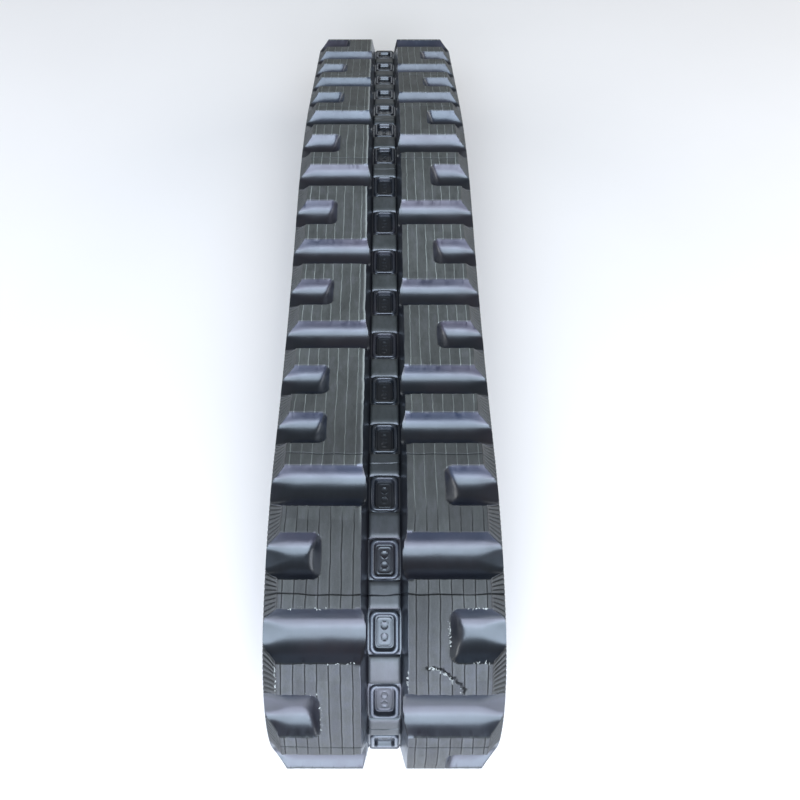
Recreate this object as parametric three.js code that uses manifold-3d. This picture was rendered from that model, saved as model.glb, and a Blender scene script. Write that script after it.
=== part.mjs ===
// Endless rubber track of a compact loader, lying free on a floor.
//
// An outer tread rubber with C-shaped blocks, two steel cord bands, and an inner carcass rubber that
// holds one cast steel core bar per link. Millimetres, +Z up. X runs across the track, Y along it.
// The origin is on the floor under the middle of the loop.
//
// The track is drawn flat first, in three directions: s along the belt, x across it and h outwards from
// the cord line. at() then wraps it round the loop.
import * as THREE from 'three';
import { mergeVertices } from 'three/addons/utils/BufferGeometryUtils.js';
import Module from 'manifold-3d';

const wasm = await Module();
wasm.setup();

// ---- Driving dimensions ------------------------------------------------------------------------
const LINKS = 39; // an odd count, so the tread pattern repeats itself once
const PITCH = 72;
const WIDTH = 250;
const GAP = 0.3; // between pieces that touch

// Heights from the cord line, outwards.
const TREAD_TOP = 32;
const TREAD_BASE = 12;
const WINDOW_SKIN = 4;
const INNER_FACE = -16;

// Tread pattern, in half lengths along the belt and half widths across it.
const VALLEY = { floor: 15.5, top: 23 };
const LANE = { floor: 18, top: 22.5 };
const NOTCH_END = { top: 65, floor: 77 }; // where a short valley stops short of the lane
const BLOCK_EDGE = 111;
const WINDOW = { floor: 9.5, top: 14, inside: 13, insideLength: 34 };
const REPEATED_LINK = 5; // the link that has its long valley on the same side as the link before it

// Steel inside the rubber.
const CORD = { inner: 38, outer: 98, thick: 3 };
const CORE = { half: 104, length: 24, top: -6.5, bottom: -12.5 };
const HORN = { tip: -42, inner: 18, tipInner: 21, tipOuter: 31, outer: 36 };

// The loop, as headings in degrees above +Y and lengths in links, from the end of the near bend.
const NEAR_RADIUS = 138;
const START_LINK = 1.17;
const HEADING = { start: 18.5, sag: -8, rise: 2.5, slope: -17.5 };
const SHOULDER_LINKS = { near: 2.5, far: 4.1 };
const SLOPE_LINKS = 3.9;

// ---- The loop's route --------------------------------------------------------------------------
const radians = THREE.MathUtils.degToRad;

// Moves a point along a stretch that turns evenly from one heading to another.
function advance(from, to, length, distance) {
  const turn = radians(to - from.heading) * (distance / length);
  const start = radians(from.heading);
  const chord = turn === 0 ? distance : (2 * Math.sin(turn / 2) * distance) / turn;
  return {
    y: from.y + chord * Math.cos(start + turn / 2),
    z: from.z + chord * Math.sin(start + turn / 2),
    heading: from.heading + THREE.MathUtils.radToDeg(turn),
  };
}

// The whole loop for one length of the sagging middle. The far radius and the floor run follow from closing it.
function route(middle) {
  const stretches = [
    { to: HEADING.sag, length: SHOULDER_LINKS.near * PITCH },
    { to: HEADING.rise, length: middle },
    { to: HEADING.slope, length: SHOULDER_LINKS.far * PITCH },
    { to: HEADING.slope, length: SLOPE_LINKS * PITCH },
  ];
  let end = { y: 0, z: 0, heading: HEADING.start };
  for (const stretch of stretches) end = advance(end, stretch.to, stretch.length, stretch.length);

  const nearTurn = radians(180 - HEADING.start);
  const farTurn = radians(180 + HEADING.slope);
  const floor = -NEAR_RADIUS * (1 + Math.cos(radians(HEADING.start)));
  const farRadius = (end.z - floor) / (1 + Math.cos(radians(HEADING.slope)));
  const nearCentre = NEAR_RADIUS * Math.sin(radians(HEADING.start));
  const farCentre = end.y + farRadius * Math.sin(radians(HEADING.slope));

  stretches.push({ to: -180, length: farRadius * farTurn });
  stretches.push({ to: -180, length: farCentre - nearCentre });
  stretches.push({ to: HEADING.start - 360, length: NEAR_RADIUS * nearTurn });
  const total = stretches.reduce((sum, stretch) => sum + stretch.length, 0);
  return { stretches, total, floor };
}

// The total grows evenly with the middle, so two trials give the middle that fits the links.
function fitRoute() {
  const short = route(PITCH);
  const perLink = route(2 * PITCH).total - short.total;
  return route(PITCH * (1 + (LINKS * PITCH - short.total) / perLink));
}

const loop = fitRoute();
const lift = TREAD_TOP - loop.floor;

// The cord line's point and heading at a distance along the belt.
function cordLine(s) {
  const length = LINKS * PITCH;
  let left = (((s - START_LINK * PITCH) % length) + length) % length;
  let point = { y: 0, z: lift, heading: HEADING.start };
  for (const stretch of loop.stretches) {
    if (left <= stretch.length) return advance(point, stretch.to, stretch.length, left);
    point = advance(point, stretch.to, stretch.length, stretch.length);
    left -= stretch.length;
  }
  return point;
}

function at(s, x, h) {
  const point = cordLine(s);
  const heading = radians(point.heading);
  return new THREE.Vector3(x, point.y - h * Math.sin(heading), point.z + h * Math.cos(heading));
}

// ---- Rings: a closed section carried round the whole loop -----------------------------------------
// Each link has the same four stations, so the faces of every ring lie parallel.
const STATIONS = [-VALLEY.top, -VALLEY.floor, VALLEY.floor, VALLEY.top];
const stationCount = LINKS * STATIONS.length;

function ring(corners, heightAt) {
  const geometry = new THREE.TorusGeometry(2, 1, corners.length, stationCount);
  const place = geometry.attributes.position;
  for (let i = 0; i < place.count; i += 1) {
    const station = (stationCount - (i % (stationCount + 1))) % stationCount;
    const corner = Math.floor(i / (stationCount + 1)) % corners.length;
    const link = Math.floor(station / STATIONS.length);
    const offset = STATIONS[station % STATIONS.length];
    const [x, h] = corners[corner];
    const point = at(link * PITCH + offset, x, heightAt ? heightAt(link, offset, x, h) : h);
    place.setXYZ(i, point.x, point.y, point.z);
  }
  return bare(geometry);
}

function bare(geometry) {
  geometry.deleteAttribute('normal');
  geometry.deleteAttribute('uv');
  return mergeVertices(geometry, 1e-4);
}

// ---- Tread rubber --------------------------------------------------------------------------------
const longValleyOnRight = (link) => (link < REPEATED_LINK ? link % 2 === 0 : link % 2 === 1);

function treadHeight(link, offset, x, h) {
  const inValley = Math.abs(offset) <= VALLEY.floor;
  const out = Math.abs(x);
  if (h < TREAD_BASE) return h;
  if (out <= WINDOW.floor && inValley) return WINDOW_SKIN;
  if (out < LANE.top || out > BLOCK_EDGE) return TREAD_BASE;
  if (!inValley) return TREAD_TOP;
  const onLongSide = (x > 0) === longValleyOnRight(link);
  return onLongSide || out > NOTCH_END.top ? TREAD_BASE : TREAD_TOP;
}

function treadRubber() {
  const half = [
    WINDOW.floor, WINDOW.top, LANE.floor, LANE.top, NOTCH_END.top, NOTCH_END.floor, BLOCK_EDGE, WIDTH / 2,
  ];
  const right = half.map((x) => [x, TREAD_BASE]);
  const left = half.map((x) => [-x, TREAD_BASE]).reverse();
  const under = [[WIDTH / 2, GAP], [-WIDTH / 2, GAP]];
  return ring([...left, ...right, ...under], treadHeight);
}

// ---- Cord bands ------------------------------------------------------------------------------------
function cordBand(side) {
  const top = -GAP;
  const bottom = top - CORD.thick;
  const [low, high] = side > 0 ? [CORD.inner, CORD.outer] : [-CORD.outer, -CORD.inner];
  return ring([[low, top], [high, top], [high, bottom], [low, bottom]]);
}

// ---- Core bars -------------------------------------------------------------------------------------
// One outline across the track: a flat bar with two guide horns that stand into the loop.
function coreBar(grow) {
  const half = [
    [CORE.half + grow, CORE.top + grow],
    [CORE.half + grow, CORE.bottom - grow],
    [HORN.outer + grow, CORE.bottom - grow],
    [HORN.tipOuter + grow, HORN.tip - grow],
    [HORN.tipInner - grow, HORN.tip - grow],
    [HORN.inner - grow, CORE.bottom - grow],
  ];
  const mirrored = half.map(([x, h]) => [-x, h]).reverse();
  const outline = new THREE.Shape([...half, ...mirrored].map(([x, h]) => new THREE.Vector2(x, h)));
  const length = CORE.length + 2 * grow;
  const geometry = new THREE.ExtrudeGeometry(outline, { depth: length, bevelEnabled: false });
  return geometry.translate(0, 0, -length / 2);
}

// Stands a rigid piece, drawn with x across, y outwards and z along the belt, at a place on the loop.
function stand(object, s) {
  const point = cordLine(s);
  object.position.set(0, point.y, point.z);
  object.rotation.x = Math.PI / 2 + radians(point.heading);
  return object;
}

// ---- Carcass rubber --------------------------------------------------------------------------------
function solid(geometry) {
  const closed = bare(geometry.clone());
  const mesh = new wasm.Mesh({
    numProp: 3,
    vertProperties: Float32Array.from(closed.attributes.position.array),
    triVerts: Uint32Array.from(closed.index.array),
  });
  return new wasm.Manifold(mesh);
}

function placed(geometry, s) {
  const holder = stand(new THREE.Object3D(), s);
  holder.updateMatrix();
  return solid(geometry.clone().applyMatrix4(holder.matrix));
}

function toGeometry(manifold) {
  const mesh = manifold.getMesh();
  const geometry = new THREE.BufferGeometry();
  geometry.setAttribute('position', new THREE.BufferAttribute(mesh.vertProperties, 3));
  geometry.setIndex(new THREE.BufferAttribute(mesh.triVerts, 1));
  geometry.computeVertexNormals();
  return geometry;
}

function carcassRubber() {
  const groove = { in: CORD.inner - GAP, out: CORD.outer + GAP, floor: -CORD.thick - 2 * GAP };
  const right = [[groove.in, 0], [groove.in, groove.floor], [groove.out, groove.floor], [groove.out, 0]];
  const left = right.map(([x, h]) => [-x, h]).reverse();
  const edge = WIDTH / 2;
  const section = [
    [-edge, 0], ...left, ...right, [edge, 0], [edge, INNER_FACE], [-edge, INNER_FACE],
  ];
  const pocket = coreBar(GAP);
  const window = new THREE.BoxGeometry(2 * WINDOW.inside, 4 * TREAD_BASE, WINDOW.insideLength);
  let rubber = solid(ring(section));
  for (let link = 0; link < LINKS; link += 1) {
    rubber = rubber.subtract(placed(window, link * PITCH));
    rubber = rubber.subtract(placed(pocket, (link + 0.5) * PITCH));
  }
  return toGeometry(rubber);
}

// ---- Assembly --------------------------------------------------------------------------------------
const treadMaterial = new THREE.MeshStandardMaterial({ color: 0x2b2d30, roughness: 0.55, metalness: 0 });
const carcassMaterial = new THREE.MeshStandardMaterial({ color: 0x232426, roughness: 0.7, metalness: 0 });
const cordMaterial = new THREE.MeshStandardMaterial({ color: 0x9a8a62, roughness: 0.4, metalness: 1 });
const coreMaterial = new THREE.MeshStandardMaterial({ color: 0x4b4d50, roughness: 0.6, metalness: 1 });

function named(name, geometry, material) {
  const mesh = new THREE.Mesh(geometry, material);
  mesh.name = name;
  return mesh;
}

const group = new THREE.Group();
const tread = named('tread_rubber', treadRubber(), treadMaterial);
group.add(tread);
group.add(named('carcass_rubber', carcassRubber(), carcassMaterial));
group.add(named('cord_band_left', cordBand(-1), cordMaterial));
group.add(named('cord_band_right', cordBand(1), cordMaterial));

const bar = coreBar(0);
for (let link = 0; link < LINKS; link += 1) {
  const name = `core_bar_${String(link + 1).padStart(2, '0')}`;
  group.add(stand(named(name, bar, coreMaterial), (link + 0.5) * PITCH));
}

const box = new THREE.Box3().setFromObject(tread);
group.position.y = -(box.min.y + box.max.y) / 2;

export default group;
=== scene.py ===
"""Looks of the endless rubber track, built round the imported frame.

The moulded rubber is two closed skins, an outer tread and an inner carcass, and a few torn crumbs. Each
skin is drawn on a fine grid in belt coordinates and wrapped round the loop: s runs along the belt, x
across it and h outwards from the cord line. A station u is s less the middle of its link. Metres, +Z up.
"""
import math

import bpy
import numpy as np
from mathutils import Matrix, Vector


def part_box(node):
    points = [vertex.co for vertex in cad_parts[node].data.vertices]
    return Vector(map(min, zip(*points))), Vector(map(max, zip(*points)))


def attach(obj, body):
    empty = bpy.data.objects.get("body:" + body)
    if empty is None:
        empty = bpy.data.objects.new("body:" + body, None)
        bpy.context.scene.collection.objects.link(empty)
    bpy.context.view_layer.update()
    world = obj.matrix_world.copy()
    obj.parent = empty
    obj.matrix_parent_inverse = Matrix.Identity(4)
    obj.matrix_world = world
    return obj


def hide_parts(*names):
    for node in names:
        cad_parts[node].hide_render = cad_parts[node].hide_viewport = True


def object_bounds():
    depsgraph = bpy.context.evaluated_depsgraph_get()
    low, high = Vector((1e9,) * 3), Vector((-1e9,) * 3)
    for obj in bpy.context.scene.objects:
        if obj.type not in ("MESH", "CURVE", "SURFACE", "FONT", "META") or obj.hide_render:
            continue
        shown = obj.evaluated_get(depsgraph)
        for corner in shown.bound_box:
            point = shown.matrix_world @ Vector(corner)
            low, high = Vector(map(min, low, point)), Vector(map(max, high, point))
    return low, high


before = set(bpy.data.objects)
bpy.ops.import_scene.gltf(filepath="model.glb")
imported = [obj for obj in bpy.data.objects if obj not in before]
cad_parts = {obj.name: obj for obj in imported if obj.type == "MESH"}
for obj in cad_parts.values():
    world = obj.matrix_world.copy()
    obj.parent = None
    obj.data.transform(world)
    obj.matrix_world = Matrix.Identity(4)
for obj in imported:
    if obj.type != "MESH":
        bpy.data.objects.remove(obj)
cad_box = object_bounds()

MM = 0.001

# ---- The belt, as the CAD has it ---------------------------------------------------------------
LINKS = 39
PITCH = 72 * MM
LENGTH = LINKS * PITCH
HALF_WIDTH = 125 * MM
TREAD_TOP = 32 * MM
TREAD_BASE = 12 * MM
TREAD_UNDER = 0.3 * MM
INNER_FACE = -16 * MM
REPEATED_LINK = 5  # its long valley is on the same side as the one before

NEAR_RADIUS = 138 * MM
START_LINK = 1.17
HEADING = {"start": 18.5, "sag": -8.0, "rise": 2.5, "slope": -17.5}
SHOULDER_LINKS = {"near": 2.5, "far": 4.1}
SLOPE_LINKS = 3.9

# ---- The moulded pattern -------------------------------------------------------------------------
TREAD_DEPTH = TREAD_TOP - TREAD_BASE
VALLEY_FLOOR = 14 * MM  # half lengths along the belt
VALLEY_TOP = 23 * MM
LANE_FLOOR = 18 * MM  # half widths across the belt
LANE_TOP = 24 * MM
NOTCH_TOP = 65 * MM
NOTCH_FLOOR = 77 * MM
BLOCK_EDGE = 108.5 * MM
VALLEY_FILLET = {"middle": 21 * MM, "side": 9 * MM, "from": 95 * MM}
VALLEY_UNEVEN = 0.35 * MM
NOTCH_FILLET = 15 * MM
CORNER = 4 * MM  # rounding, in height, where a valley meets the lane
CORNER_REACH = 6 * MM  # how far into the blocks that rounding goes
SHOULDER_HOLLOW = 0.9 * MM
LANE_LOW = 8.4 * MM  # the lane's height round its pads
LANE_FOOT = 17.6 * MM
LANE_CREASE = 2.4 * MM  # rounding, in height, at the foot of the lane's walls
PAD = {"foot": 21.2 * MM, "round": 6.5 * MM, "half": 17.4 * MM, "side": 4.4 * MM}
LINE_FIRST = 32  # mould lines on the block tops, in millimetres from the middle
LINE_GAP = 12
LINES = [(LINE_FIRST + LINE_GAP * i) * MM for i in range(7)]
LINE_HALF = 0.75 * MM
LINE_DEEP = 0.9 * MM
LINE_LIP = 0.3 * MM
FAN_LINES = 4  # grooves from a valley's edge to the middle of the block
FAN_HALF = 0.9 * MM
FAN_DEEP = 2.0 * MM
FAN_START = 2.5 * MM  # the grooves reach their full depth this far down the shoulder
SEAM_HALF = 1.0 * MM
SEAM_DEEP = 1.6 * MM
SEAM_UNEVEN = 0.6
UNEVEN = 0.12 * MM
PARTING_LINKS = (-1, 1, 3, 10, 12, 14, 20, 23, 25, 27, 29, 31, 33, 35)  # joints between mould sections
PATCH = {"x": 16.3 * MM, "s": 21 * MM}  # the part of the grid that a drive window replaces
# Longest steps of the two skins' grids.
STEP = {"window": 1.4 * MM, "row": 1.2 * MM, "column": 1.6 * MM, "pad_edge": 0.6 * MM,
        "shoulder": 1.3 * MM, "carcass_row": 2.8 * MM, "carcass_column": 3.2 * MM}

# How far past its border a point still counts as part of a surface.
SLACK = {"top": 0.6 * MM, "edge": 0.3 * MM, "shoulder": 0.2 * MM, "wall": 0.5 * MM}

# How far edges and mould lines stray, in millimetres.
RAGGED = {"edge": 0.25, "nick": 1.7, "nick_from": 0.45}
WANDER = {"edge": 0.28, "seam": 1.1, "line": 0.6, "line_fine": 0.35}
EDGE_REACH = 2.2 * MM
SEAM_REACH = 3 * MM
LANE_STILL = (LANE_TOP - 3 * MM, LANE_TOP + 2 * MM)  # nothing strays inside the first of these
SIDE_STILL = (HALF_WIDTH - 8 * MM, HALF_WIDTH)  # or outside the second of these

# ---- The finish ----------------------------------------------------------------------------------
# Places where the finish and the painted light and shade change, in links from the near end: from, to.
NEARNESS_END = (3, 6)  # darker and glossier up to here
FAR_GLINT_START = (2.2, 3.0)  # painted highlight on the mould lines from here
FAR_GLINT_END = (20, 24)
WALL_SHEEN_START = (1.5, 3.2)  # painted sheen on the valley walls, in full from here
NEAR_WINDOW_END = (1.5, 3.5)  # brighter painted highlight on the window rims and less painted shade in their pockets up to here
WORN = {"middle": 0.1, "full": 0.4, "none": 1.5}
# Strengths of the masks, from 0 to 1.
SMOOTH = {"shoulder": 0.25, "pad": 0.25, "near_pad": 0.3, "side": 0.6}
# Painted shade for the grooves, lane channel and pockets, and darker tones for the shoulders, strips and
# near blocks.
DARK = {"shoulder": 0.12, "near_shoulder": 0.3, "strip": 0.3, "lane": 0.6, "near_top": 0.33,
        "pocket": 0.97, "near_pocket": -0.6}
# Painted highlights on the mould lines and their lips, and on the window rims.
LIGHT = {"lip": 0.12, "line_glint": 1.5, "far_lip": -0.3, "rim": 0.08, "near_rim": 0.42}
# Painted sheen on the valley walls: its share on the near links, its unevenness, and the wall heights, as
# shares of the tread depth, where it fades in and out.
WALL_SHEEN = {"near": 0.12, "uneven": 0.15, "low": (0.12, 0.4), "high": (0.96, 1.0)}
INNER_EDGE = {"x": 1.0 * MM, "half": 2.2 * MM}  # a painted highlight along the left blocks' edge, beside the lane


# ---- The loop's route ----------------------------------------------------------------------------
def advance(start, to, length, distance):
    """Moves (y, z, heading) along a stretch that turns evenly from one heading to another."""
    y, z, heading = start
    turn = math.radians(to - heading) * distance / length
    aim = math.radians(heading) + turn / 2
    chord = distance if turn == 0 else 2 * math.sin(turn / 2) * distance / turn
    return y + chord * math.cos(aim), z + chord * math.sin(aim), heading + math.degrees(turn)


def route(middle):
    """The loop for one length of its sagging middle: stretches, total length and floor height."""
    stretches = [
        (HEADING["sag"], SHOULDER_LINKS["near"] * PITCH),
        (HEADING["rise"], middle),
        (HEADING["slope"], SHOULDER_LINKS["far"] * PITCH),
        (HEADING["slope"], SLOPE_LINKS * PITCH),
    ]
    end = (0.0, 0.0, HEADING["start"])
    for to, length in stretches:
        end = advance(end, to, length, length)
    start, slope = math.radians(HEADING["start"]), math.radians(HEADING["slope"])
    floor = -NEAR_RADIUS * (1 + math.cos(start))
    far_radius = (end[1] - floor) / (1 + math.cos(slope))
    near_centre = NEAR_RADIUS * math.sin(start)
    far_centre = end[0] + far_radius * math.sin(slope)
    stretches.append((-180.0, far_radius * (math.pi + slope)))
    stretches.append((-180.0, far_centre - near_centre))
    stretches.append((HEADING["start"] - 360, NEAR_RADIUS * (math.pi - start)))
    return stretches, sum(length for _, length in stretches), floor


def fit_route():
    short = route(PITCH)[1]
    per_link = route(2 * PITCH)[1] - short
    return route(PITCH * (1 + (LENGTH - short) / per_link))


STRETCHES, _, FLOOR = fit_route()


def cord_line(s):
    """(y, z, heading in radians) at a distance along the belt, before the loop is centred."""
    left = (s - START_LINK * PITCH) % LENGTH
    point = (0.0, TREAD_TOP - FLOOR, HEADING["start"])
    for to, length in STRETCHES:
        if left <= length:
            y, z, heading = advance(point, to, length, left)
            return y, z, math.radians(heading)
        point = advance(point, to, length, length)
        left -= length
    return point[0], point[1], math.radians(point[2])


TABLE_STEP = 0.5 * MM
TABLE_S = np.arange(-PITCH, LENGTH + PITCH, TABLE_STEP)
TABLE = np.array([cord_line(s) for s in TABLE_S])
TABLE[:, 2] = np.unwrap(TABLE[:, 2])
# The CAD loop is centred on its own box. A core bar on the floor run tells how far it was moved.
FLOOR_BAR = 28
bar_low, bar_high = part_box(f"core_bar_{FLOOR_BAR}")
SHIFT = (bar_low[1] + bar_high[1]) / 2 - cord_line((FLOOR_BAR - 0.5) * PITCH)[0]


def wrap(s, x, h):
    """Belt coordinates, as arrays, to points in the row frame."""
    y = np.interp(s, TABLE_S, TABLE[:, 0])
    z = np.interp(s, TABLE_S, TABLE[:, 1])
    heading = np.interp(s, TABLE_S, TABLE[:, 2])
    points = np.stack([x, y - h * np.sin(heading) + SHIFT, z + h * np.cos(heading)], axis=-1)
    return np.clip(points, np.array(cad_box[0]), np.array(cad_box[1]))


# ---- Small helpers for height fields ---------------------------------------------------------------
def smooth_max(a, b, reach):
    """The larger of two heights, blended where they differ by less than reach."""
    mix = np.clip(0.5 + 0.5 * (a - b) / reach, 0, 1)
    return b + (a - b) * mix + reach * mix * (1 - mix)


def smooth_min(a, b, reach):
    return -smooth_max(-a, -b, reach)


def smooth_step(low, high, value):
    t = np.clip((value - low) / (high - low), 0, 1)
    return t * t * (3 - 2 * t)


def lattice(ix, iy, seed):
    """A fixed pseudo-random number from 0 to 1 for each whole pair."""
    mixed = np.sin(ix * 127.1 + iy * 311.7 + seed * 74.7) * 43758.5453
    return mixed - np.floor(mixed)


def noise(a, b, scale_a, scale_b, seed, loops=None):
    """Smooth noise from -1 to 1. loops is how many cells of a the belt holds, so that it closes."""
    u, v = a / scale_a, b / scale_b
    iu, iv = np.floor(u), np.floor(v)
    fu, fv = u - iu, v - iv
    fu, fv = fu * fu * (3 - 2 * fu), fv * fv * (3 - 2 * fv)

    def corner(di, dj):
        column = iu + di
        if loops:
            column = np.mod(column, loops)
        return lattice(column, iv + dj, seed)

    low = corner(0, 0) * (1 - fu) + corner(1, 0) * fu
    high = corner(0, 1) * (1 - fu) + corner(1, 1) * fu
    return 2 * (low * (1 - fv) + high * fv) - 1


def belt_noise(s, x, cells, scale_x, seed):
    """Noise along the belt that meets itself, with a whole number of cells round the loop."""
    return noise(s, x, LENGTH / cells, scale_x, seed, loops=cells)


def from_near(links):
    """A place in links, counted from the near end: negative underneath it, and 33 at most."""
    return (links + 6) % LINKS - 6


# ---- Tread shape -----------------------------------------------------------------------------------
def long_on_right(link):
    return (link % 2 == 0) if link < REPEATED_LINK else (link % 2 == 1)


LONG_RIGHT = np.array([long_on_right(link) for link in range(LINKS)])
PARTED = np.isin(np.arange(LINKS), np.mod(PARTING_LINKS, LINKS))


def wall_height(distance, run, radius):
    """Height above the floor at a distance past a wall's foot, with a round fillet at the foot.

    The wall climbs TREAD_DEPTH over run."""
    slope = math.atan2(TREAD_DEPTH, run)
    tangent = radius * math.tan(slope / 2)  # how far the fillet reaches each way from the foot
    past = np.clip(distance + tangent, 0, None)
    arc_end = tangent + tangent * math.cos(slope)
    arc = radius - np.sqrt(np.clip(radius ** 2 - np.minimum(past, arc_end) ** 2, 0, None))
    return np.where(past < arc_end, arc, distance * TREAD_DEPTH / run)


def raised_edge(distance, radius):
    """0 to 1 up a rounded edge: 0 at its foot, 1 at radius past the foot."""
    t = np.clip(distance / radius, 0, 1)
    return np.sqrt(1 - (1 - t) ** 2)


# A torn crack in the right block beyond the near end, as points (s, x) in millimetres.
CRACK = [(46.5, 42), (45.0, 45), (46.8, 50), (45.2, 54), (45.6, 58), (42.0, 61), (40.8, 65), (38.0, 67),
         (38.2, 71), (34.0, 73), (33.0, 77), (29.0, 78), (28.0, 81), (25.0, 79)]
CRACK_HALF = 1.25 * MM
CRACK_DEEP = 3.2 * MM
CRACK_LIFT = {"reach": 3 * MM, "high": 0.5 * MM}


def crack_distance(s, x):
    best = np.full(s.shape, 1.0)
    for start, end in zip(CRACK, CRACK[1:]):
        a = np.array(start) * MM
        d = np.array(end) * MM - a
        t = np.clip(((s - a[0]) * d[0] + (x - a[1]) * d[1]) / (d @ d), 0, 1)
        best = np.minimum(best, np.hypot(s - a[0] - t * d[0], x - a[1] - t * d[1]))
    return best


def follow_edges(u, x):
    """Moves grid stations so that the rows follow the slanting ends of the valleys.

    The shoulder and the lane wall cut a valley's wall along slanting edges, and the shoulder's fan of
    grooves runs between them."""
    out, along = np.abs(x), np.abs(u)
    outer = np.clip((out - BLOCK_EDGE) / (HALF_WIDTH - BLOCK_EDGE), 0, 1)
    inner = np.clip((LANE_TOP - out) / (LANE_TOP - LANE_FLOOR), 0, 1)
    inner = inner * (1 - smooth_step(0, 1.4 * MM, LANE_FLOOR - out))
    edge = VALLEY_TOP - (VALLEY_TOP - VALLEY_FLOOR) * np.maximum(outer, inner)
    in_valley = along * edge / VALLEY_TOP
    in_block = PITCH / 2 - (PITCH / 2 - along) * (PITCH / 2 - edge) / (PITCH / 2 - VALLEY_TOP)
    return np.sign(u) * np.where(along <= VALLEY_TOP, in_valley, in_block)


def tread_height(link, u, x, row_u):
    """Height of the tread's outer face, and how smooth, dark and light each point is and how much painted
    sheen it has.

    link is a whole-number array, and row_u is the station that each point had before its row was bent."""
    s = link * PITCH + u
    out = np.abs(x)
    along = np.abs(u)

    # Raised blocks: flat tops between a steep lane wall and a sloping shoulder.
    lane_wall = LANE_LOW + (TREAD_TOP - LANE_LOW) * (out - LANE_FOOT) / (LANE_TOP - LANE_FOOT)
    down = np.clip((out - BLOCK_EDGE) / (HALF_WIDTH - BLOCK_EDGE), 0, 1)
    shoulder = TREAD_TOP - TREAD_DEPTH * down - SHOULDER_HOLLOW * np.sin(np.pi * down)
    block = np.minimum(np.minimum(TREAD_TOP, lane_wall), shoulder)

    # Valleys across them: one runs the whole way, the other stops at a wall short of the lane.
    to_side = smooth_step(VALLEY_FILLET["from"], HALF_WIDTH, out)
    fillet = VALLEY_FILLET["middle"] + (VALLEY_FILLET["side"] - VALLEY_FILLET["middle"]) * to_side
    wall_s = wall_height(along - VALLEY_FLOOR, VALLEY_TOP - VALLEY_FLOOR, fillet)
    wall_x = wall_height(NOTCH_FLOOR - out, NOTCH_FLOOR - NOTCH_TOP, NOTCH_FILLET)
    long_side = (x > 0) == LONG_RIGHT[link]
    wall = np.where(long_side, wall_s, np.hypot(wall_s, wall_x))
    valley = TREAD_BASE + wall + VALLEY_UNEVEN * belt_noise(s, x, 78, 0.03, 3)
    by_lane = out < LANE_TOP + CORNER_REACH
    carved = np.where(by_lane, smooth_min(block, valley, CORNER), np.minimum(block, valley))
    carved = np.minimum(carved, TREAD_TOP)
    on_top = (carved > TREAD_TOP - SLACK["top"]) & (out > LANE_TOP) & (out < BLOCK_EDGE + SLACK["edge"])
    on_shoulder = (out >= BLOCK_EDGE) & (valley > shoulder + SLACK["shoulder"])

    # Lane between the blocks, with a flat pad between each two windows.
    pad = raised_edge(along - PAD["foot"], PAD["round"]) * raised_edge(PAD["half"] - out, PAD["side"])
    lane = LANE_LOW + (TREAD_BASE - LANE_LOW) * pad
    foot = smooth_max(smooth_min(lane_wall, valley, CORNER), np.full_like(lane, LANE_LOW), LANE_CREASE)
    outside = np.where(out < LANE_TOP, np.minimum(foot, TREAD_TOP), carved)
    height = np.where(out < PAD["half"], lane, outside)

    # Mould lines along each block top.
    groove = np.zeros_like(height)
    lip = np.zeros_like(height)
    for line in LINES:
        distance = np.abs(out - line)
        groove = np.maximum(groove, np.clip(1 - distance / LINE_HALF, 0, 1))
        lip = np.maximum(lip, np.clip(1 - np.abs(distance - 1.5 * LINE_HALF) / LINE_HALF, 0, 1))
    groove, lip = groove * on_top, lip * on_top
    height = height - LINE_DEEP * groove + LINE_LIP * lip

    # Fan of grooves down the shoulders.
    step = (PITCH / 2 - VALLEY_TOP) / FAN_LINES
    to_line = np.abs(np.mod(PITCH / 2 - np.abs(row_u) + step / 2, step) - step / 2)
    fan = np.clip(1 - to_line / FAN_HALF, 0, 1) * on_shoulder * smooth_step(0, FAN_START, out - BLOCK_EDGE)
    height = height - FAN_DEEP * fan

    # Parting lines between the mould's sections.
    after = PARTED[link] * np.clip(1 - (PITCH / 2 - row_u) / SEAM_HALF, 0, 1)
    before = PARTED[np.mod(link - 1, LINKS)] * np.clip(1 - (PITCH / 2 + row_u) / SEAM_HALF, 0, 1)
    seam = np.maximum(after, before)
    height = height - SEAM_DEEP * seam * (1 + SEAM_UNEVEN * belt_noise(s, x, 200, 0.012, 9))

    # One crack, with the rubber beside it lifted.
    distance = crack_distance(s, x)
    crack = np.clip(1 - distance / CRACK_HALF, 0, 1) * on_top
    lifted = np.clip(1 - np.abs(distance - CRACK_LIFT["reach"]) / CRACK_LIFT["reach"], 0, 1) * on_top
    height = height - CRACK_DEEP * crack + CRACK_LIFT["high"] * lifted * belt_noise(s, x, 900, 0.003, 12)

    # Slight unevenness everywhere, kept below the block tops' height.
    height = height + UNEVEN * belt_noise(s, x, 234, 0.014, 5) - UNEVEN
    height = np.minimum(height, TREAD_TOP)

    # Smooth valleys, rough block tops, and pads and shoulders in between.
    place = from_near(s / PITCH)
    nearness = 1 - smooth_step(*NEARNESS_END, place)
    smooth = np.where(on_top, 0.0, np.where(on_shoulder, SMOOTH["shoulder"], 1.0))
    on_pad = (out < LANE_TOP) & (pad > 0.5)
    smooth = np.where(on_pad, SMOOTH["pad"] + SMOOTH["near_pad"] * nearness, smooth)

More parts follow.
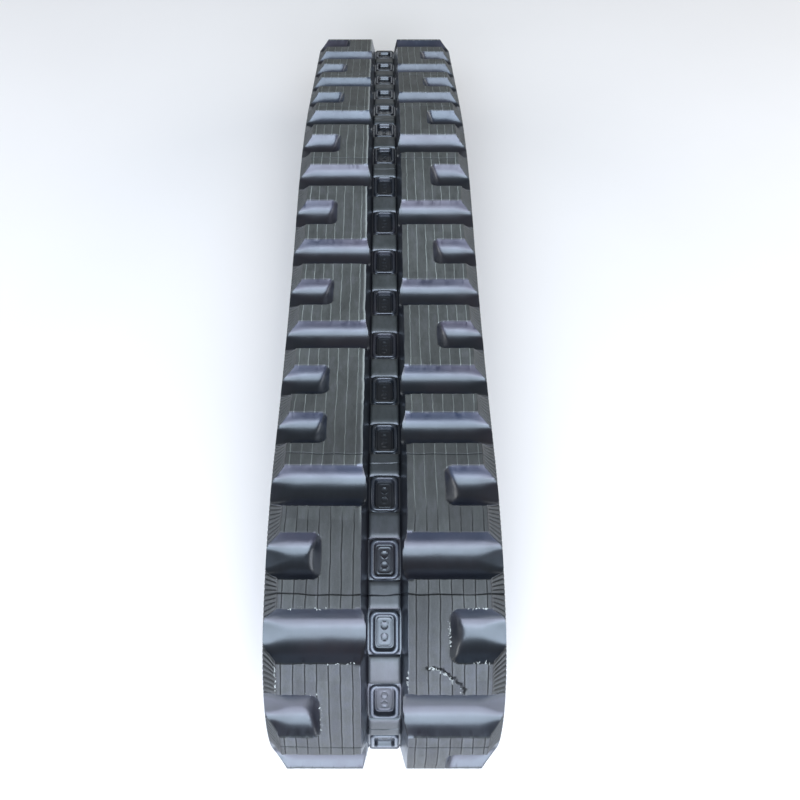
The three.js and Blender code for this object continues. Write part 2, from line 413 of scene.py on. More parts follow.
    # Painted shade in the mould lines on the near links, the fan grooves, seams, crack and the lane round
    # the pads; darker shoulders and near blocks; and a different tone on each strip between the mould
    # lines.
    far_glint = smooth_step(*FAR_GLINT_START, place) * (1 - smooth_step(*FAR_GLINT_END, s / PITCH))
    strip_number = np.floor((out / MM - LINE_FIRST) / LINE_GAP) + (len(LINES) + 2) * (x > 0)
    strip = lattice(strip_number, np.floor(s / PITCH + 0.5), 41)
    in_lane = (out < LANE_TOP) * (1 - pad)
    dark = groove * (1 - far_glint) + fan + seam + crack
    dark = dark + (DARK["shoulder"] + DARK["near_shoulder"] * nearness) * on_shoulder
    dark = dark + DARK["strip"] * strip * on_top + DARK["lane"] * in_lane
    dark = np.clip(dark + DARK["near_top"] * on_top * nearness, 0, 1)

    # Painted highlights: on the mould lines past the near links, along their lips, and along the left
    # blocks' edge beside the lane.
    from_edge = np.abs(out - LANE_TOP - INNER_EDGE["x"])
    inner_edge = np.clip(1 - from_edge / INNER_EDGE["half"], 0, 1) * on_top * (x < 0)
    light = LIGHT["lip"] * lip + LIGHT["line_glint"] * groove * far_glint + LIGHT["far_lip"] * far_glint * lip
    light = np.clip(light + inner_edge * far_glint, 0, 1)

    # Painted sheen on the valley walls, weaker on the near blocks.
    up = (height - TREAD_BASE) / TREAD_DEPTH
    on_wall = smooth_step(*WALL_SHEEN["low"], up) * (1 - smooth_step(*WALL_SHEEN["high"], up))
    on_wall = on_wall * (along < VALLEY_TOP + SLACK["wall"]) * (out > LANE_TOP)
    on_wall = on_wall * (long_side | (wall_s > wall_x))
    share = WALL_SHEEN["near"] + (1 - WALL_SHEEN["near"]) * smooth_step(*WALL_SHEEN_START, place)
    wall_sheen = on_wall * smooth * share
    wall_sheen = wall_sheen * (1 - WALL_SHEEN["uneven"] + WALL_SHEEN["uneven"] * belt_noise(s, x, 117, 0.03, 17))
    return height, smooth, dark, light, wall_sheen


# ---- Meshes ----------------------------------------------------------------------------------------
class Soup:
    """Points, faces and masks that are gathered and then made into one mesh.

    Each point has four masks: smooth; dark, which holds painted shade and darker tones; light, which holds
    painted highlights and paler tones; and its surface, which is worn where positive and has painted sheen
    where negative."""

    def __init__(self):
        self.points = []
        self.masks = []
        self.quads = []
        self.tris = []
        self.count = 0

    def add(self, points, masks):
        first = self.count
        self.points.append(points.reshape(-1, 3))
        self.masks.append(masks.reshape(-1, 4))
        self.count += self.points[-1].shape[0]
        return first

    def build(self, name):
        points = np.concatenate(self.points)
        masks = np.concatenate(self.masks)
        quads = np.concatenate(self.quads)
        tris = np.concatenate(self.tris) if self.tris else np.zeros((0, 3), int)
        mesh = bpy.data.meshes.new(name)
        mesh.vertices.add(len(points))
        mesh.vertices.foreach_set("co", points.astype(np.float32).ravel())
        corners = np.concatenate([quads.ravel(), tris.ravel()]).astype(np.int32)
        starts = np.concatenate([np.arange(len(quads)) * 4, len(quads) * 4 + np.arange(len(tris)) * 3])
        mesh.loops.add(len(corners))
        mesh.loops.foreach_set("vertex_index", corners)
        mesh.polygons.add(len(starts))
        mesh.polygons.foreach_set("loop_start", starts.astype(np.int32))
        mesh.update(calc_edges=True)
        layer = mesh.attributes.new("finish", "FLOAT_COLOR", "POINT")
        layer.data.foreach_set("color", masks.astype(np.float32).ravel())
        layer = mesh.attributes.new("surface", "FLOAT", "POINT")
        layer.data.foreach_set("value", masks[:, 3].astype(np.float32))
        mesh.polygons.foreach_set("use_smooth", np.ones(len(starts), bool))
        mesh.set_sharp_from_angle(angle=math.radians(32))
        mesh.validate()
        piece = bpy.data.objects.new(name, mesh)
        bpy.context.scene.collection.objects.link(piece)
        return piece


def grid_quads(index, keep=None):
    """Quads between neighbouring rows and columns of an index grid, facing outwards."""
    a, b = index[:-1, :-1], index[1:, :-1]
    c, d = index[1:, 1:], index[:-1, 1:]
    quads = np.stack([a, d, c, b], axis=-1)
    return quads[keep] if keep is not None else quads.reshape(-1, 4)


def spaced(stops, step):
    """Stations that hit every stop, no further apart than step in between."""
    values = []
    for low, high in zip(stops, stops[1:]):
        parts = max(1, math.ceil((high - low) / step - 1e-6))
        values.extend(low + (high - low) * i / parts for i in range(parts))
    values.append(stops[-1])
    return np.array(values)


def mirrored(positive):
    return np.concatenate([-positive[::-1][:-1], positive])


def tread_stations():
    """Stations of one link, half of them before its window and half after."""
    inner = spaced([0, PATCH["s"]], STEP["window"])
    stops = [PATCH["s"], VALLEY_TOP]
    step = (PITCH / 2 - VALLEY_TOP) / FAN_LINES
    for i in range(1, FAN_LINES):
        line = VALLEY_TOP + i * step
        stops += [line - FAN_HALF, line, line + FAN_HALF]
    stops += [PITCH / 2 - SEAM_HALF, PITCH / 2]
    return mirrored(np.concatenate([inner[:-1], spaced(stops, STEP["row"])]))[1:]


def tread_columns():
    stops = [PATCH["x"], PAD["half"], LANE_FLOOR, LANE_FOOT, LANE_TOP, LANE_TOP + 0.9 * MM]
    for line in LINES:
        stops += [line - 2 * LINE_HALF, line - LINE_HALF, line, line + LINE_HALF, line + 2 * LINE_HALF]
    stops += [BLOCK_EDGE - 1 * MM, BLOCK_EDGE]
    middle = spaced([0, PAD["half"] - PAD["side"]], STEP["column"])
    pad_edge = spaced([PAD["half"] - PAD["side"], PATCH["x"]], STEP["pad_edge"])
    rest = spaced(stops, STEP["column"])
    shoulder = spaced([BLOCK_EDGE, HALF_WIDTH - 1.5 * MM, HALF_WIDTH], STEP["shoulder"])
    return mirrored(np.concatenate([middle[:-1], pad_edge[:-1], rest[:-1], shoulder]))


def belt_grid(rows, columns):
    """Link number, station and width of each point of a skin that repeats one link's rows."""
    link, u = np.repeat(np.arange(LINKS), len(rows)), np.tile(rows, LINKS)
    shape = (len(u), len(columns))
    return (np.broadcast_to(link[:, None], shape), np.broadcast_to(u[:, None], shape),
            np.broadcast_to(columns[None, :], shape))


def rounded_ring(outline, half_x, half_s, radius):
    """Points on a rounded rectangle, one for each point of a plain rectangle, by direction."""
    points = []
    for x, s in outline:
        scale = max(abs(x) / half_x, abs(s) / half_s)
        px, ps = x / scale, s / scale
        inner_x, inner_s = half_x - radius, half_s - radius
        if abs(px) > inner_x and abs(ps) > inner_s:
            corner = np.array([math.copysign(inner_x, px), math.copysign(inner_s, ps)])
            away = np.array([px, ps]) - corner
            size = np.hypot(*away)
            if size > 1e-9:
                px, ps = corner + away * radius / size
        points.append((px, ps))
    return np.array(points)


def dimple(x, s, centre_s, radius):
    """A plain round dimple with a thin raised rim."""
    distance = np.hypot(x, s - centre_s)
    bowl = -DIMPLE["deep"] * np.clip(1 - (distance / radius) ** 2, 0, 1)
    from_crest = np.abs(distance - radius - DIMPLE["crest"])
    return bowl + DIMPLE["rim"] * np.clip(1 - from_crest / DIMPLE["rim_half"], 0, 1)


# Rings of a drive window, from the lane down to the pocket floor: half width, half length, corner
# radius and height, in millimetres.
WINDOW_RINGS = [
    (15.7, 20.6, 5.0, 8.4), (15.3, 20.3, 6.2, 8.9), (14.9, 20.0, 6.4, 9.9), (14.4, 19.7, 6.4, 10.7),
    (13.8, 19.2, 6.3, 11.1), (13.0, 18.6, 6.1, 11.2), (12.2, 18.0, 5.8, 11.1), (11.5, 17.6, 5.4, 10.7),
    (11.0, 17.2, 5.1, 9.8), (10.6, 16.9, 4.8, 8.4), (10.2, 16.5, 4.5, 6.4), (9.7, 16.0, 4.2, 5.2),
    (9.0, 15.3, 4.0, 4.9), (8.4, 14.7, 3.7, 4.9), (8.0, 14.3, 3.6, 5.2), (7.5, 13.8, 3.4, 5.3),
    (7.0, 13.3, 3.2, 5.2), (6.5, 12.8, 3.0, 4.9),
]
POCKET_FLOOR = 4.9 * MM
RIM_LOW = 9.6 * MM
RIM_HIGH = 11 * MM
POCKET_CENTRE = {"x": 6.5 * MM, "s": 12.8 * MM, "radius": 3.0 * MM}
POCKET_STEPS = 11
DIMPLE = {"s": 5.6 * MM, "radius": 3.6 * MM, "deep": 0.7 * MM, "rim": 0.35 * MM, "crest": 0.3 * MM,
          "rim_half": 0.8 * MM}


def window_rings(boundary):
    """(x, s, h) rings that close a window from the grid's rectangular hole to its middle."""
    rings = []
    for half_x, half_s, radius, height in WINDOW_RINGS:
        ring = rounded_ring(boundary, half_x * MM, half_s * MM, radius * MM)
        rings.append((ring[:, 0], ring[:, 1], np.full(len(ring), height * MM)))
    for i in range(1, POCKET_STEPS):
        share = 1 - i / POCKET_STEPS
        half_x, half_s, radius = (POCKET_CENTRE[key] * share for key in ("x", "s", "radius"))
        ring = rounded_ring(boundary, half_x, half_s, radius)
        x, s = ring[:, 0], ring[:, 1]
        marks = dimple(x, s, DIMPLE["s"], DIMPLE["radius"]) + dimple(x, s, -DIMPLE["s"], DIMPLE["radius"])
        rings.append((x, s, POCKET_FLOOR + marks))
    return rings


def cut_holes(rows, columns, half_s, half_x):
    """Row and column numbers round one link's hole, in order, and which faces of the belt stay."""
    tiny = 1e-6
    inside_rows = [i for i, value in enumerate(rows) if abs(value) <= half_s + tiny]
    inside_columns = [j for j, value in enumerate(columns) if abs(value) <= half_x + tiny]
    low_row, high_row = inside_rows[0], inside_rows[-1]
    low_column, high_column = inside_columns[0], inside_columns[-1]
    path = [(low_row, j) for j in range(low_column, high_column)]
    path += [(i, high_column) for i in range(low_row, high_row)]
    path += [(high_row, j) for j in range(high_column, low_column, -1)]
    path += [(i, low_column) for i in range(high_row, low_row, -1)]
    keep = np.ones((LINKS, len(rows), len(columns) - 1), bool)
    keep[:, low_row:high_row, low_column:high_column] = False
    return path, keep.reshape(LINKS * len(rows), -1)


# The tread's side, down to its underside: half width and height.
SIDE = [(HALF_WIDTH, TREAD_BASE - 3.0 * MM), (HALF_WIDTH, TREAD_BASE - 6.5 * MM),
        (HALF_WIDTH, TREAD_UNDER + 1.2 * MM), (HALF_WIDTH - 0.9 * MM, TREAD_UNDER)]
UNDER_HALF = HALF_WIDTH - 12 * MM
UNDER_LINES = 22


def tread_skin():
    rows = tread_stations()
    columns = tread_columns()
    per_link = len(rows)
    link_grid, row_grid, x_grid = belt_grid(rows, columns)
    u_grid = follow_edges(row_grid, x_grid)
    height, smooth, dark, light, wall_sheen = tread_height(link_grid, u_grid, x_grid, row_grid)

    # Edges and mould lines waver a little; the lane's windows and the belt's sides stay put.
    s_grid = link_grid * PITCH + u_grid
    free = smooth_step(*LANE_STILL, np.abs(x_grid))
    free_side = 1 - smooth_step(*SIDE_STILL, np.abs(x_grid))
    near_edge = np.exp(-((np.abs(row_grid) - VALLEY_TOP) / EDGE_REACH) ** 2)
    nick = belt_noise(s_grid, x_grid, 1170, 0.0028, 21) - RAGGED["nick_from"]
    nick = np.clip(nick, 0, 1) * RAGGED["nick"]
    ragged = RAGGED["edge"] * belt_noise(s_grid, x_grid, 390, 0.005, 20) - nick * np.sign(row_grid)
    wander = WANDER["edge"] * MM * belt_noise(s_grid, x_grid, 78, 0.05, 22)
    at_seam = np.exp(-((PITCH / 2 - np.abs(row_grid)) / SEAM_REACH) ** 2)
    seam_wander = WANDER["seam"] * MM * noise(x_grid, x_grid * 0, 0.018, 1.0, 23) * at_seam
    s_moved = s_grid + (ragged * MM * near_edge + wander) * free * free_side + seam_wander
    line_wander = WANDER["line"] * belt_noise(s_grid, x_grid, 117, 0.012, 24)
    line_wander = line_wander + WANDER["line_fine"] * belt_noise(s_grid, x_grid, 390, 0.012, 25)
    x_moved = x_grid + line_wander * MM * free * free_side

    soup = Soup()
    worn = 1 - smooth_step(WORN["full"], WORN["none"], np.abs(from_near(s_grid / PITCH) - WORN["middle"]))
    masks = np.stack([smooth, dark, light, worn * (smooth == 0) - wall_sheen], axis=-1)
    index = soup.add(wrap(s_moved, x_moved, height), masks) + np.arange(height.size).reshape(height.shape)
    looped = np.vstack([index, index[:1]])
    path, keep = cut_holes(rows, columns, PATCH["s"], PATCH["x"])
    soup.quads.append(grid_quads(looped, keep))

    # Drive windows.
    corner_x = np.array([columns[j] for _, j in path])
    corner_s = np.array([rows[i] for i, _ in path])
    rings = window_rings(list(zip(corner_x, corner_s)))
    for k in range(LINKS):
        outer = np.array([index[k * per_link + i, j] for i, j in path])
        near_window = 1 - smooth_step(*NEAR_WINDOW_END, from_near(k))
        for x, s, h in rings:
            # Painted shade deep in each pocket and a painted highlight on its rim crest; on the near links
            # the highlight is brighter and the shade lighter.
            crest = np.clip((h - RIM_LOW) / (RIM_HIGH - RIM_LOW), 0, 1)
            deep = np.clip((LANE_LOW - h) / (LANE_LOW - POCKET_FLOOR), 0, 1)
            pocket_dark = deep * (DARK["pocket"] + DARK["near_pocket"] * near_window)
            rim_light = crest * (LIGHT["rim"] + LIGHT["near_rim"] * near_window)
            ring_mask = np.stack([np.ones_like(h), pocket_dark, rim_light, np.zeros_like(h)], axis=-1)
            start = soup.add(wrap(k * PITCH + s, x, h), ring_mask)
            inner = start + np.arange(len(path))
            soup.quads.append(np.stack([outer, np.roll(outer, -1), np.roll(inner, -1), inner], axis=-1))
            outer = inner
        centre = wrap(np.array([k * PITCH]), np.zeros(1), np.array([POCKET_FLOOR]))
        middle = soup.add(centre, ring_mask[:1])
        soup.tris.append(np.stack([outer, np.roll(outer, -1), np.full(len(outer), middle)], axis=-1))

    # Sides and underside.
    ring_s = s_grid[:, 0]
    under = [(x, TREAD_UNDER) for x in np.linspace(UNDER_HALF, -UNDER_HALF, UNDER_LINES)]
    last = looped[:, -1]
    mask = np.tile([SMOOTH["side"], 0, 0, 1], (len(ring_s), 1))
    for x, h in SIDE + under + [(-x, h) for x, h in reversed(SIDE)]:
        start = soup.add(wrap(ring_s, np.full(len(ring_s), x), np.full(len(ring_s), h)), mask)
        column = start + np.arange(len(ring_s))
        column = np.append(column, column[0])
        soup.quads.append(grid_quads(np.stack([last, column], axis=1)))
        last = column
    soup.quads.append(grid_quads(np.stack([last, looped[:, 0]], axis=1)))
    return soup.build("tread_skin")


# ---- Torn flash -------------------------------------------------------------------------------------
# Where crumbs of torn rubber cling: (s, x) from, (s, x) to, in millimetres, and how many.
TORN_EDGES = [
    ((46.5, 46), (40, 62), 26), ((40, 62), (25, 78), 34), ((14, -64), (-14, -64), 22),
    ((23, -66), (23, -78), 8), ((26, -109), (46, -109), 14), ((84, 65), (64, 65), 12),
    ((26, 24.5), (44, 24.5), 12), ((95, -60), (95, -100), 12), ((95, 84), (95, 106), 8),
    ((50, -26), (50, -60), 6), ((50, 90), (50, 106), 6),
]
# Sizes in millimetres. A pair is a least value and how much chance adds to it.
CRUMB = {"scatter": 2.4, "long": (0.7, 1.8), "wide": (0.4, 0.8), "tail": (0.6, 0.4), "light": (0.2, 0.6),
         "peak": 0.3}
# Depths under the block tops.
CRUMB_DEPTH = {"low": 1.2 * MM, "level": 0.45 * MM, "high": 0.02 * MM, "tilt": 0.1 * MM}
CRUMB_CHANCES = 8


def torn_flash():
    """Small crumbs and slivers of rubber along torn edges, each a closed eight-sided lump."""
    low, level, high = (TREAD_TOP - CRUMB_DEPTH[key] for key in ("low", "level", "high"))
    tilt = CRUMB_DEPTH["tilt"]
    heights = np.array([level, level - tilt, level, level + tilt, low, high])
    faces = [(5, (a + 1) % 4, a) for a in range(4)] + [(4, a, (a + 1) % 4) for a in range(4)]

    def chance(size, pick):
        return CRUMB[size][0] + CRUMB[size][1] * pick

    soup = Soup()
    number = 0
    for (s0, x0), (s1, x1), count in TORN_EDGES:
        for i in range(count):
            number += 1
            pick = lattice(np.arange(CRUMB_CHANCES), np.full(CRUMB_CHANCES, number), 51)
            along = (i + pick[0]) / count
            s = (s0 + (s1 - s0) * along + CRUMB["scatter"] * (pick[1] - 0.5)) * MM
            x = (x0 + (x1 - x0) * along + CRUMB["scatter"] * (pick[2] - 0.5)) * MM
            long, wide = chance("long", pick[3]) * MM, chance("wide", pick[4]) * MM
            turn = 2 * math.pi * pick[5]
            cos, sin = math.cos(turn), math.sin(turn)
            across = [(long, 0), (0, wide), (-long * chance("tail", pick[6]), 0), (0, -wide)]
            ring_s = [s + a * cos - b * sin for a, b in across] + [s, s + CRUMB["peak"] * long]
            ring_x = [x + a * sin + b * cos for a, b in across] + [x, x]
            mask = np.tile([0, 0, chance("light", pick[7]), 0], (len(heights), 1))
            first = soup.add(wrap(np.array(ring_s), np.array(ring_x), heights), mask)
            soup.tris.append(first + np.array(faces))
    soup.quads.append(np.zeros((0, 4), int))
    return soup.build("torn_flash")


# ---- Carcass: the belt's inner side ----------------------------------------------------------------
HOLE = {"x": 17 * MM, "s": 20 * MM}  # the part of the grid that a drive window replaces
CARCASS_WINDOW = {"x": 13 * MM, "s": 17 * MM, "radius": 4 * MM}
# Rings of its mouth, inwards: wider by, rounder by, and height.
MOUTH = [(2.2 * MM, 2 * MM, INNER_FACE + 0.2 * MM), (0.7 * MM, 0.5 * MM, INNER_FACE + 1.0 * MM),
         (0.0, 0.0, INNER_FACE + 2.6 * MM), (0.0, 0.0, -8 * MM), (0.0, 0.0, 0.0)]
BOSS = {"x": 27 * MM, "end_x": (9 * MM, 14 * MM), "end_s": (12 * MM, 17 * MM), "high": 3.2 * MM}
ROLLER_PATH = [44 * MM, 47 * MM, 86 * MM, 89 * MM]  # where each of its slopes starts and ends
PATH_HIGH = 0.8 * MM
SIDE_EDGE = {"wide": 7 * MM, "deep": 2.2 * MM}


def carcass_height(link, u, x):
    """Height of the inner face, raised round the guide horns, and the mask of the roller path."""
    s = link * PITCH + u
    out = np.abs(x)
    to_bar = PITCH / 2 - np.abs(u)
    boss_s = 1 - smooth_step(*BOSS["end_s"], to_bar)
    boss_x = 1 - smooth_step(*BOSS["end_x"], np.abs(out - BOSS["x"]))
    edge = smooth_step(HALF_WIDTH - SIDE_EDGE["wide"], HALF_WIDTH, out)
    path = smooth_step(*ROLLER_PATH[:2], out) * (1 - smooth_step(*ROLLER_PATH[2:], out))
    height = INNER_FACE - BOSS["high"] * boss_s * boss_x + SIDE_EDGE["deep"] * edge - PATH_HIGH * path
    return height + 0.1 * MM * belt_noise(s, x, 156, 0.02, 31), path


def carcass_skin():
    rows = mirrored(spaced([0, HOLE["s"], PITCH / 2], STEP["carcass_row"]))[1:]
    stops = [0, HOLE["x"], *ROLLER_PATH, HALF_WIDTH - SIDE_EDGE["wide"], HALF_WIDTH]
    columns = mirrored(spaced(stops, STEP["carcass_column"]))
    per_link = len(rows)
    link_grid, u_grid, x_grid = belt_grid(rows, columns)
    s_grid = link_grid * PITCH + u_grid
    height, path_mask = carcass_height(link_grid, u_grid, x_grid)

    soup = Soup()
    masks = np.zeros(height.shape + (4,))
    masks[..., 2] = 0.5 * path_mask
    path, keep = cut_holes(rows, columns, HOLE["s"], HOLE["x"])
    numbers = np.arange(height.size).reshape(height.shape)
    inner = soup.add(wrap(s_grid, x_grid, height), masks) + numbers
    top = soup.add(wrap(s_grid, x_grid, np.zeros_like(height)), masks) + numbers
    inner_loop = np.vstack([inner, inner[:1]])
    top_loop = np.vstack([top, top[:1]])
    soup.quads.append(grid_quads(inner_loop, keep)[:, ::-1])
    soup.quads.append(grid_quads(top_loop, keep))

    def strip(first_line, second_line, flip):
        quads = grid_quads(np.stack([first_line, second_line], axis=1))
        soup.quads.append(quads[:, ::-1] if flip else quads)

    strip(top_loop[:, -1], inner_loop[:, -1], False)
    strip(top_loop[:, 0], inner_loop[:, 0], True)

    boundary = [(columns[j], rows[i]) for i, j in path]
    size = CARCASS_WINDOW
    ring_mask = np.zeros((len(path), 4))
    for k in range(LINKS):
        line = np.array([inner[k * per_link + i, j] for i, j in path])
        for wider, rounder, level in MOUTH:
            ring = rounded_ring(boundary, size["x"] + wider, size["s"] + wider, size["radius"] + rounder)
            start = soup.add(wrap(k * PITCH + ring[:, 1], ring[:, 0], np.full(len(ring), level)), ring_mask)
            nxt = start + np.arange(len(path))
            soup.quads.append(np.stack([line, nxt, np.roll(nxt, -1), np.roll(line, -1)], axis=-1))
            line = nxt
        outer = np.array([top[k * per_link + i, j] for i, j in path])
        soup.quads.append(np.stack([line, outer, np.roll(outer, -1), np.roll(line, -1)], axis=-1))
    return soup.build("carcass_skin")


# ---- Materials -------------------------------------------------------------------------------------
class Nodes:
    """A short way to write a node material."""

    def __init__(self, name):
        self.material = bpy.data.materials.new(name)
        self.material.use_nodes = True
        self.tree = self.material.node_tree
        self.shader = self.tree.nodes["Principled BSDF"]

    def node(self, kind, inputs=None, **settings):
        node = self.tree.nodes.new(kind)
        for key, value in settings.items():
            setattr(node, key, value)
        for key, value in (inputs or {}).items():
            self.put(node.inputs[key], value)
        return node

    def put(self, socket, value):
        if isinstance(value, bpy.types.NodeSocket):
            self.tree.links.new(value, socket)
        else:
            socket.default_value = value

    def masks(self):
        """The smooth, dark and light masks of the mesh."""
        finish = self.node("ShaderNodeAttribute", attribute_name="finish").outputs["Color"]
        split = self.node("ShaderNodeSeparateColor", {"Color": finish})
        return split.outputs["Red"], split.outputs["Green"], split.outputs["Blue"]

    def noise(self, scale, detail=3.0, rough=0.5, stretch=None):
        place = self.node("ShaderNodeTexCoord").outputs["Object"]
        if stretch:
            place = self.node("ShaderNodeMapping", {"Vector": place, "Scale": stretch}).outputs["Vector"]
        return self.node("ShaderNodeTexNoise", {"Vector": place, "Scale": scale, "Detail": detail,
                                                "Roughness": rough}).outputs["Fac"]

    def ramp(self, value, low, high, to_low=0.0, to_high=1.0):
        return self.node("ShaderNodeMapRange", {"Value": value, "From Min": low, "From Max": high,
                                                "To Min": to_low, "To Max": to_high}).outputs["Result"]

    def math(self, operation, a, b):
        return self.node("ShaderNodeMath", {0: a, 1: b}, operation=operation).outputs["Value"]

    def mix(self, share, a, b):
        node = self.node("ShaderNodeMix", data_type="RGBA")
        self.put(node.inputs[0], share)
        self.put(node.inputs[6], a)
        self.put(node.inputs[7], b)
        return node.outputs[2]

    def blend(self, share, a, b):
        node = self.node("ShaderNodeMix", data_type="FLOAT")
        self.put(node.inputs[0], share)
        self.put(node.inputs[2], a)
        self.put(node.inputs[3], b)
        return node.outputs[0]

    def bump(self, height, distance, strength):
        inputs = {"Height": height, "Distance": distance, "Strength": strength}
        return self.node("ShaderNodeBump", inputs).outputs["Normal"]

    def finish(self, **sockets):
        for key, value in sockets.items():
            self.put(self.shader.inputs[key.replace("_", " ")], value)
        return self.material


# Colour of the dark mask: painted shade in grooves, lane and pockets, and darker tones.
DEEP_BLACK = (0.006, 0.006, 0.007, 1)


def tread_material():
    n = Nodes("moulded_black_rubber")
    smooth, dark, light = n.masks()
    surface = n.node("ShaderNodeAttribute", attribute_name="surface").outputs["Fac"]
    worn = n.math("MAXIMUM", surface, 0.0)
    wall_sheen = n.math("MAXIMUM", n.math("MULTIPLY", surface, -1.0), 0.0)

    # Matt, scuffed block tops.
    grain = n.noise(900, 4, 0.6)
    patches = n.noise(16, 4, 0.6)
    tops = n.mix(n.ramp(patches, 0.35, 0.65), (0.047, 0.053, 0.048, 1), (0.073, 0.080, 0.074, 1))
    tops = n.mix(n.ramp(grain, 0.5, 0.8, 0, 0.4), tops, (0.11, 0.118, 0.12, 1))
    scuffs = n.noise(90, 8, 0.8, stretch=(1, 0.35, 0.35))
    tops = n.mix(n.ramp(scuffs, 0.50, 0.66, 0, 0.7), tops, (0.110, 0.113, 0.122, 1))
    tops = n.mix(n.ramp(scuffs, 0.48, 0.34, 0, 0.7), tops, (0.024, 0.027, 0.027, 1))
    wear = n.math("MULTIPLY", worn, n.ramp(n.noise(75, 4, 0.65), 0.38, 0.66))
    tops = n.mix(wear, tops, (0.080, 0.087, 0.100, 1))
    # Painted highlights on the mould lines, their lips and the left blocks' inner edge.
    tops = n.mix(light, tops, (0.48, 0.51, 0.48, 1))
    # Painted shade in the grooves, seams and crack, with the darker strips, shoulders and near tops.
    tops = n.mix(dark, tops, DEEP_BLACK)

    # Smooth, glossier valleys, with a painted sheen that shifts between lilac and blue.
    oil = n.noise(7, 3, 0.55)
    cool = n.mix(n.ramp(oil, 0.42, 0.6), (0.006, 0.0075, 0.010, 1), (0.015, 0.010, 0.013, 1))
    streak = n.noise(60, 3, 0.6, stretch=(5, 0.6, 0.6))
    cool = n.mix(n.ramp(streak, 0.45, 0.75, 0, 0.5), cool, (0.012, 0.014, 0.019, 1))
    sheen = n.mix(n.ramp(n.noise(5, 2, 0.5), 0.4, 0.6), (0.054, 0.042, 0.058, 1), (0.024, 0.031, 0.054, 1))
    cool = n.mix(wall_sheen, cool, sheen)
    # Painted highlight on the window rims.
    cool = n.mix(n.math("MULTIPLY", light, 0.8), cool, (0.16, 0.17, 0.19, 1))
    # Painted shade in the pockets, grooves and lane.
    cool = n.mix(n.math("MULTIPLY", dark, 0.9), cool, DEEP_BLACK)
    colour = n.mix(smooth, tops, cool)

    rough_tops = n.ramp(grain, 0.3, 0.7, 0.66, 0.85)
    rough_smooth = n.ramp(n.noise(28, 4, 0.6), 0.35, 0.7, 0.32, 0.44)
    fine = n.noise(1400, 2, 0.5)
    flow = n.noise(240, 3, 0.5, stretch=(1, 0.25, 0.25))
    scuffed = n.math("ADD", fine, n.math("MULTIPLY", scuffs, 2.5))
    relief = n.blend(smooth, scuffed, n.math("MULTIPLY", flow, 0.5))
    return n.finish(Base_Color=colour, Roughness=n.blend(smooth, rough_tops, rough_smooth),
                    Coat_Weight=n.math("MULTIPLY", smooth, 0.55), Coat_Roughness=0.27,
                    Coat_Tint=(0.74, 0.86, 1.0, 1), Specular_IOR_Level=0.95,
                    Normal=n.bump(relief, 0.00035, 0.5))


def carcass_material():
    n = Nodes("carcass_black_rubber")
    light = n.masks()[2]
    grain = n.noise(700, 4, 0.6)
    patches = n.ramp(n.noise(20, 4, 0.6), 0.35, 0.7)
    colour = n.mix(patches, (0.018, 0.018, 0.020, 1), (0.040, 0.040, 0.043, 1))
    colour = n.mix(n.math("MULTIPLY", light, 0.5), colour, (0.055, 0.055, 0.055, 1))
    return n.finish(Base_Color=colour, Roughness=n.ramp(grain, 0.3, 0.7, 0.48, 0.66),
                    Specular_IOR_Level=0.5, Normal=n.bump(grain, 0.0003, 0.5))


def core_material():
    n = Nodes("black_coated_forging")
    grain = n.noise(500, 5, 0.65)
    patches = n.noise(45, 4, 0.6)
    colour = n.mix(n.ramp(patches, 0.4, 0.65), (0.035, 0.036, 0.040, 1), (0.085, 0.083, 0.082, 1))
    colour = n.mix(n.ramp(grain, 0.62, 0.75), colour, (0.16, 0.15, 0.14, 1))
    return n.finish(Base_Color=colour, Metallic=0.75, Roughness=n.ramp(patches, 0.3, 0.7, 0.42, 0.62),
                    Normal=n.bump(grain, 0.0006, 0.6))


def cord_material():
    n = Nodes("brass_coated_cord")
    place = n.node("ShaderNodeTexCoord").outputs["Object"]
    wave = {"Vector": place, "Scale": 260.0, "Distortion": 1.5, "Detail": 2.0}
    strands = n.node("ShaderNodeTexWave", wave, wave_type="BANDS", bands_direction="X").outputs["Fac"]
    colour = n.mix(strands, (0.22, 0.16, 0.07, 1), (0.62, 0.50, 0.28, 1))
    return n.finish(Base_Color=colour, Metallic=1.0, Roughness=n.ramp(n.noise(300), 0.3, 0.7, 0.3, 0.45),
                    Normal=n.bump(strands, 0.0008, 0.8))


def dress(piece, material):
    """Gives a piece one material in every slot."""
    if not piece.material_slots:
        piece.data.materials.append(material)
    for slot in piece.material_slots:
        slot.material = material


# ---- Floor, light and camera -------------------------------------------------------------------------
FLOOR_HALF = 14.0


def floor():
    n = Nodes("pale_floor")
    colour = n.mix(n.ramp(n.noise(2.5, 3, 0.5), 0.3, 0.7), (0.96, 0.92, 0.88, 1), (0.98, 0.94, 0.90, 1))
    material = n.finish(Base_Color=colour, Roughness=0.9)
    mesh = bpy.data.meshes.new("floor")
    signs = [(-1, -1), (1, -1), (1, 1), (-1, 1)]
    mesh.from_pydata([(a * FLOOR_HALF, b * FLOOR_HALF, 0) for a, b in signs], [], [(0, 1, 2, 3)])
    piece = bpy.data.objects.new("floor", mesh)
    bpy.context.scene.collection.objects.link(piece)
    dress(piece, material)


MIDDLE = (0, -0.1, 0.2)
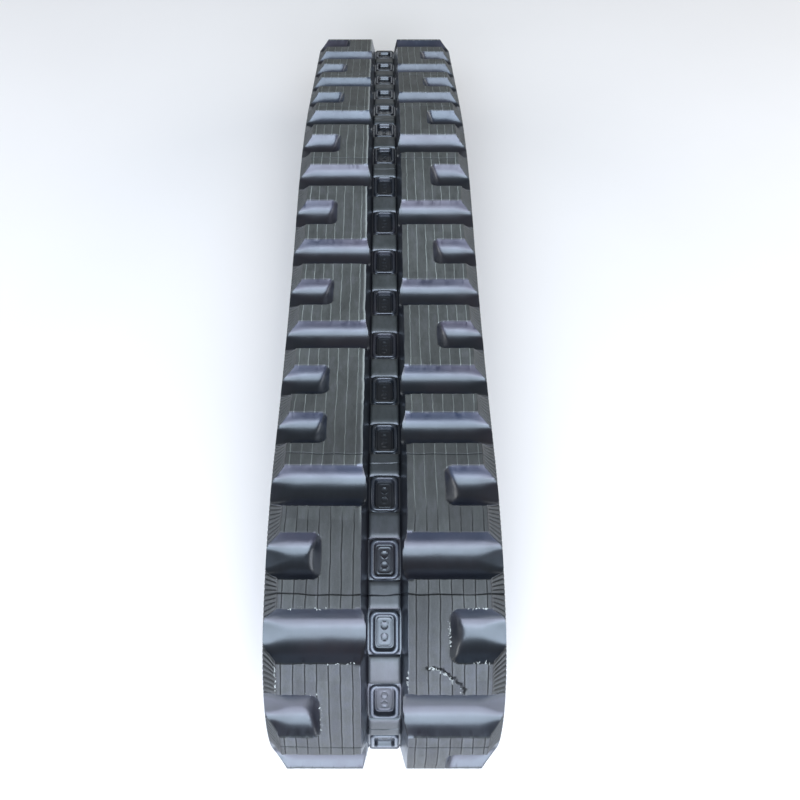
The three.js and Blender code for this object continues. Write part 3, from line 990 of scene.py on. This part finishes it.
# Name, place, target, size, power in watts and colour.
LAMPS = [
    ("front_high", (0, -2.2, 2.5), MIDDLE, (3.4, 2.3), 134, (0.73, 0.86, 1.0)),
    ("front_low", (0, -3.3, 1.3), (0, 0, 0.7), (3.8, 2.0), 116, (0.80, 0.82, 1.0)),
    ("left", (-2.9, 0.3, 1.5), MIDDLE, (2.6, 1.2), 26, (0.94, 0.96, 1.0)),
    ("right", (2.9, 0.3, 1.5), MIDDLE, (2.6, 1.2), 30, (1.0, 0.98, 0.94)),
    ("back", (0, 3.4, 0.9), MIDDLE, (3.0, 0.8), 10, (0.96, 0.98, 1.0)),
]
WORLD = {"Color": (0.93, 0.96, 1.0, 1), "Strength": 0.17}


def area_light(name, place, target, size, power, colour):
    light = bpy.data.lights.new(name, "AREA")
    light.shape = "RECTANGLE"
    light.size, light.size_y = size
    light.energy = power
    light.color = colour
    lamp = bpy.data.objects.new(name, light)
    lamp.location = place
    lamp.rotation_euler = (Vector(target) - Vector(place)).to_track_quat("-Z", "Y").to_euler()
    bpy.context.scene.collection.objects.link(lamp)


def lights():
    world = bpy.data.worlds.new("studio")
    world.use_nodes = True
    for key, value in WORLD.items():
        world.node_tree.nodes["Background"].inputs[key].default_value = value
    bpy.context.scene.world = world
    for lamp in LAMPS:
        area_light(*lamp)


CAMERA = {"y": -0.7767, "z": 1.1110, "down": 58.148, "lens": 35.0, "sensor": 36.0, "shift": 0.0194}


def camera():
    data = bpy.data.cameras.new("camera")
    data.lens = CAMERA["lens"]
    data.sensor_width = CAMERA["sensor"]
    data.shift_x = CAMERA["shift"]
    viewer = bpy.data.objects.new("camera", data)
    viewer.location = (0, CAMERA["y"], CAMERA["z"])
    viewer.rotation_euler = (math.radians(90 - CAMERA["down"]), 0, 0)
    bpy.context.scene.collection.objects.link(viewer)
    bpy.context.scene.camera = viewer


# ---- Assembly ----------------------------------------------------------------------------------------
bpy.context.scene.view_settings.view_transform = "Standard"
camera()
floor()
lights()

tread = tread_skin()
dress(tread, tread_material())
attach(tread, "root")
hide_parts("tread_rubber")

flash = torn_flash()
dress(flash, tread.data.materials[0])
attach(flash, "root")

carcass = carcass_skin()
dress(carcass, carcass_material())
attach(carcass, "root")
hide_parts("carcass_rubber")

steel = core_material()
cord = cord_material()
for name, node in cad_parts.items():
    if name.startswith("core_bar"):
        dress(node, steel)
        bevel = node.modifiers.new("rounded", "BEVEL")
        bevel.width = 2.4 * MM
        bevel.segments = 3
    elif name.startswith("cord_band"):
        dress(node, cord)
